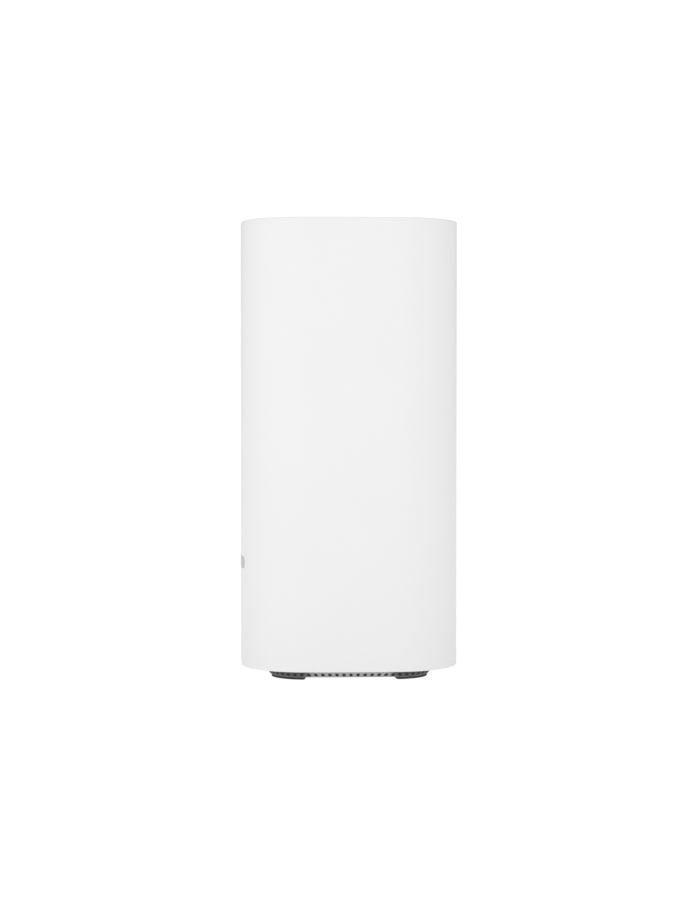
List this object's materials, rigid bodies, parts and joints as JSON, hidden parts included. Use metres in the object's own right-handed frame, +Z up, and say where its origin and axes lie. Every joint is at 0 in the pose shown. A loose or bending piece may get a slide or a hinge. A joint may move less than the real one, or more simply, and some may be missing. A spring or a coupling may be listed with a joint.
{
  "type": "mesh wifi node",
  "caption": "White rounded-square tower that spreads a home wireless network; vented grey base with rubber feet, sockets in a rear bay.",
  "frame": {"origin": "under the tower's axis on the plane it stands on", "axes": "+Z up along the tower; the front faces -Y and the sockets face +Y; +X is on the right for a viewer in front"},
  "size_m": [0.114, 0.114, 0.238],
  "materials": {
    "white_plastic": "satin moulded white",
    "grille_plastic": "satin moulded, slightly warmer than the housing",
    "grey_plastic": "fine spark-eroded grey",
    "black_plastic": "fine matt black",
    "frame_plastic": "plain moulded dark grey",
    "blue_plastic": "matt blue",
    "red_plastic": "matt red",
    "clear_plastic": "frosted clear light guide",
    "soft_rubber": "soft matt dark grey",
    "thermal_rubber": "soft grey-blue gap filler",
    "printed_grey": "silver-grey inlay, blank",
    "label_film": "satin label film, blank",
    "circuit_board": "green solder mask",
    "chip_black": "matt moulding compound",
    "aluminium": "extruded, lightly blasted",
    "steel": "tinned or plated sheet",
    "brass": "plain",
    "cable_jacket": "thin flexible jacket"
  },
  "bodies": {
    "tower": {"outer_housing": "white_plastic", "top_grille": "grille_plastic", "status_light_pipe": "clear_plastic", "status_light_board": "circuit_board", "status_led": "clear_plastic", "status_light_cable": "cable_jacket", "front_nameplate": "printed_grey", "base_tray": "grey_plastic", "rating_plate": "label_film", "port_panel": "black_plastic", "internet_jack": "blue_plastic", "lan_jack_1": "black_plastic", "lan_jack_2": "black_plastic", "lan_jack_3": "black_plastic", "usb_port": "steel", "usb_tongue": "blue_plastic", "dc_jack": "black_plastic", "dc_jack_pin": "brass", "power_switch_body": "black_plastic", "pairing_switch": "black_plastic", "reset_switch": "black_plastic", "main_board": "circuit_board", "inner_frame": "frame_plastic", "front_heatsink": "aluminium", "rear_heatsink": "aluminium", "thermal_pad_front": "thermal_rubber", "thermal_pad_rear": "thermal_rubber", "main_processor": "chip_black", "memory_chip_1": "chip_black", "memory_chip_2": "chip_black", "radio_shield_1": "steel", "radio_shield_2": "steel", "radio_shield_3": "steel", "antenna_carrier": "frame_plastic", "board_screw_1": "steel", "board_screw_2": "steel", "board_screw_3": "steel", "board_screw_4": "steel", "base_screw_front_left": "steel", "foot_front_left": "soft_rubber", "antenna_front_left": "brass", "antenna_cable_front_left": "cable_jacket", "base_screw_front_right": "steel", "foot_front_right": "soft_rubber", "antenna_front_right": "brass", "antenna_cable_front_right": "cable_jacket", "base_screw_rear_left": "steel", "foot_rear_left": "soft_rubber", "antenna_rear_left": "brass", "antenna_cable_rear_left": "cable_jacket", "base_screw_rear_right": "steel", "foot_rear_right": "soft_rubber", "antenna_rear_right": "brass", "antenna_cable_rear_right": "cable_jacket"},
    "rocker": {"power_rocker": "black_plastic"},
    "pairing_key": {"pairing_button": "white_plastic", "pairing_switch_plunger": "grey_plastic"},
    "reset_key": {"reset_button": "red_plastic", "reset_switch_plunger": "grey_plastic"}
  },
  "joints": [
    {"name": "power_rocker_tilt", "type": "hinge", "parent": "tower", "child": "rocker", "pos_m": [0.0092, 0.0446, 0.0325], "axis": [0, 0, -1], "range_deg": [0, 22]},
    {"name": "pairing_button_press", "type": "slide", "parent": "tower", "child": "pairing_key", "axis": [0, -1, 0], "range_m": [0, 0.0008]},
    {"name": "reset_button_press", "type": "slide", "parent": "tower", "child": "reset_key", "axis": [0, 0, 1], "range_m": [0, 0.0008]}
  ]
}
